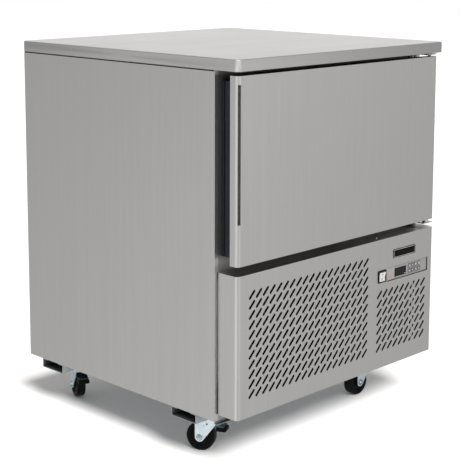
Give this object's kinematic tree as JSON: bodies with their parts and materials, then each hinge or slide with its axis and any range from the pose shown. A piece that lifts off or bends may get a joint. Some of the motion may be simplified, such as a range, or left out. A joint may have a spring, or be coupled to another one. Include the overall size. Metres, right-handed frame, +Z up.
{
  "type": "blast chiller",
  "caption": "Undercounter blast chiller on castors: brushed steel cabinet with worktop, hinged insulated door, slotted lower panel with controls, tray runners, fans and refrigeration set.",
  "frame": {"origin": "centre of the footprint box at floor level, under the middle of the worktop", "axes": "+Z up, -Y towards the door and the user, +X towards the hinge side"},
  "size_m": [0.8, 0.815, 1.01],
  "materials": {
    "worktop_steel": "brushed",
    "side_steel": "brushed",
    "front_steel": "brushed",
    "frame_steel": "brushed",
    "inner_steel": "satin",
    "foam": "matte",
    "galvanised": "galvanised",
    "fin_aluminium": "satin",
    "black_paint": "satin",
    "fan_plastic": "matte",
    "copper": "satin",
    "pale_plastic": "matte",
    "black_plastic": "satin",
    "bright_steel": "polished",
    "fascia_plastic": "satin",
    "display": "gloss",
    "key_plastic": "matte",
    "rocker_plastic": "satin",
    "gasket": "matte",
    "zinc": "zinc plated",
    "brake_zinc": "zinc plated",
    "tread": "matte"
  },
  "bodies": {
    "cabinet": {"worktop": "worktop_steel", "side_panel_left": "side_steel", "side_panel_right": "side_steel", "back_panel": "side_steel", "front_frame": "frame_steel", "chamber_liner": "inner_steel", "cabinet_insulation": "foam", "base_pan": "galvanised", "base_channels": "galvanised", "tray_racks": "inner_steel", "evaporator_coil": "fin_aluminium", "evaporator_cowl": "inner_steel", "evaporator_fan_motor": "black_paint", "drain_pipe": "pale_plastic", "drip_tray": "galvanised", "condenser_coil": "fin_aluminium", "condenser_fan_motor": "black_paint", "compressor": "black_paint", "liquid_receiver": "black_paint", "refrigerant_pipes": "copper", "electrical_box": "pale_plastic", "mains_gland": "black_plastic", "cabinet_screws": "bright_steel", "grille_panel": "front_steel", "name_plate": "black_plastic", "control_fascia": "fascia_plastic", "display_window": "display", "switch_housing": "black_plastic", "hinge_top": "bright_steel", "hinge_bottom": "bright_steel", "castor_plates": "zinc"},
    "door": {"door_skin": "front_steel", "door_core": "foam", "door_liner": "inner_steel", "door_breaker": "gasket", "door_gasket": "gasket", "door_grip": "front_steel"},
    "evaporator_fan": {"evaporator_fan": "fan_plastic"},
    "condenser_fan": {"condenser_fan": "fan_plastic"},
    "switch_rocker": {"switch_rocker": "rocker_plastic"},
    "key_1": {"key_1": "key_plastic"},
    "key_2": {"key_2": "key_plastic"},
    "key_3": {"key_3": "key_plastic"},
    "key_4": {"key_4": "key_plastic"},
    "key_5": {"key_5": "key_plastic"},
    "key_6": {"key_6": "key_plastic"},
    "key_7": {"key_7": "key_plastic"},
    "key_8": {"key_8": "key_plastic"},
    "castor_fork_fl": {"castor_fork_fl": "zinc"},
    "castor_wheel_fl": {"castor_wheel_fl": "tread"},
    "castor_brake_fl": {"castor_brake_fl": "brake_zinc"},
    "castor_fork_fr": {"castor_fork_fr": "zinc"},
    "castor_wheel_fr": {"castor_wheel_fr": "tread"},
    "castor_brake_fr": {"castor_brake_fr": "brake_zinc"},
    "castor_fork_rl": {"castor_fork_rl": "zinc"},
    "castor_wheel_rl": {"castor_wheel_rl": "tread"},
    "castor_brake_rl": {"castor_brake_rl": "brake_zinc"},
    "castor_fork_rr": {"castor_fork_rr": "zinc"},
    "castor_wheel_rr": {"castor_wheel_rr": "tread"},
    "castor_brake_rr": {"castor_brake_rr": "brake_zinc"}
  },
  "joints": [
    {"name": "door_hinge", "type": "hinge", "parent": "cabinet", "child": "door", "pos_m": [0.371, -0.3825, 0.746], "axis": [0, 0, 1], "range_deg": [0, 105]},
    {"name": "evaporator_fan_spin", "type": "hinge", "parent": "cabinet", "child": "evaporator_fan", "pos_m": [0, 0.1645, 0.746], "axis": [0, 1, 0], "continuous": true},
    {"name": "condenser_fan_spin", "type": "hinge", "parent": "cabinet", "child": "condenser_fan", "pos_m": [-0.112, -0.2197, 0.2981], "axis": [0, 1, 0], "continuous": true},
    {"name": "switch_rock", "type": "hinge", "parent": "cabinet", "child": "switch_rocker", "pos_m": [0.1615, -0.3915, 0.398], "axis": [-1, 0, 0], "range_deg": [0, 14]},
    {"name": "key_1_press", "type": "slide", "parent": "cabinet", "child": "key_1", "axis": [0, 1, 0], "range_m": [0, 0.0006], "stiffness_N_per_m": 1500},
    {"name": "key_2_press", "type": "slide", "parent": "cabinet", "child": "key_2", "axis": [0, 1, 0], "range_m": [0, 0.0006], "stiffness_N_per_m": 1500},
    {"name": "key_3_press", "type": "slide", "parent": "cabinet", "child": "key_3", "axis": [0, 1, 0], "range_m": [0, 0.0006], "stiffness_N_per_m": 1500},
    {"name": "key_4_press", "type": "slide", "parent": "cabinet", "child": "key_4", "axis": [0, 1, 0], "range_m": [0, 0.0006], "stiffness_N_per_m": 1500},
    {"name": "key_5_press", "type": "slide", "parent": "cabinet", "child": "key_5", "axis": [0, 1, 0], "range_m": [0, 0.0006], "stiffness_N_per_m": 1500},
    {"name": "key_6_press", "type": "slide", "parent": "cabinet", "child": "key_6", "axis": [0, 1, 0], "range_m": [0, 0.0006], "stiffness_N_per_m": 1500},
    {"name": "key_7_press", "type": "slide", "parent": "cabinet", "child": "key_7", "axis": [0, 1, 0], "range_m": [0, 0.0006], "stiffness_N_per_m": 1500},
    {"name": "key_8_press", "type": "slide", "parent": "cabinet", "child": "key_8", "axis": [0, 1, 0], "range_m": [0, 0.0006], "stiffness_N_per_m": 1500},
    {"name": "castor_swivel_fl", "type": "hinge", "parent": "cabinet", "child": "castor_fork_fl", "pos_m": [-0.302, -0.2215, 0.09], "axis": [0, 0, 1], "continuous": true},
    {"name": "castor_roll_fl", "type": "hinge", "parent": "castor_fork_fl", "child": "castor_wheel_fl", "pos_m": [-0.31335, -0.19923, 0.0375], "axis": [-0.891, -0.454, 0], "continuous": true},
    {"name": "castor_brake_fl_press", "type": "hinge", "parent": "castor_fork_fl", "child": "castor_brake_fl", "pos_m": [-0.30427, -0.21704, 0.074], "axis": [0.891, 0.454, 0], "range_deg": [0, 6], "stiffness_Nm_per_rad": 2},
    {"name": "castor_swivel_fr", "type": "hinge", "parent": "cabinet", "child": "castor_fork_fr", "pos_m": [0.302, -0.2215, 0.09], "axis": [0, 0, 1], "continuous": true},
    {"name": "castor_roll_fr", "type": "hinge", "parent": "castor_fork_fr", "child": "castor_wheel_fr", "pos_m": [0.277, -0.2215, 0.0375], "axis": [0, -1, 0], "continuous": true},
    {"name": "castor_brake_fr_press", "type": "hinge", "parent": "castor_fork_fr", "child": "castor_brake_fr", "pos_m": [0.297, -0.2215, 0.074], "axis": [0, 1, 0], "range_deg": [0, 6], "stiffness_Nm_per_rad": 2},
    {"name": "castor_swivel_rl", "type": "hinge", "parent": "cabinet", "child": "castor_fork_rl", "pos_m": [-0.302, 0.3025, 0.09], "axis": [0, 0, 1], "continuous": true},
    {"name": "castor_roll_rl", "type": "hinge", "parent": "castor_fork_rl", "child": "castor_wheel_rl", "pos_m": [-0.29183, 0.32534, 0.0375], "axis": [-0.9135, 0.4067, 0], "continuous": true},
    {"name": "castor_brake_rl_press", "type": "hinge", "parent": "castor_fork_rl", "child": "castor_brake_rl", "pos_m": [-0.29997, 0.30707, 0.074], "axis": [0.9135, -0.4067, 0], "range_deg": [0, 6], "stiffness_Nm_per_rad": 2},
    {"name": "castor_swivel_rr", "type": "hinge", "parent": "cabinet", "child": "castor_fork_rr", "pos_m": [0.302, 0.3025, 0.09], "axis": [0, 0, 1], "continuous": true},
    {"name": "castor_roll_rr", "type": "hinge", "parent": "castor_fork_rr", "child": "castor_wheel_rr", "pos_m": [0.29766, 0.32712, 0.0375], "axis": [-0.9848, -0.1736, 0], "continuous": true},
    {"name": "castor_brake_rr_press", "type": "hinge", "parent": "castor_fork_rr", "child": "castor_brake_rr", "pos_m": [0.30113, 0.30742, 0.074], "axis": [0.9848, 0.1736, 0], "range_deg": [0, 6], "stiffness_Nm_per_rad": 2}
  ]
}
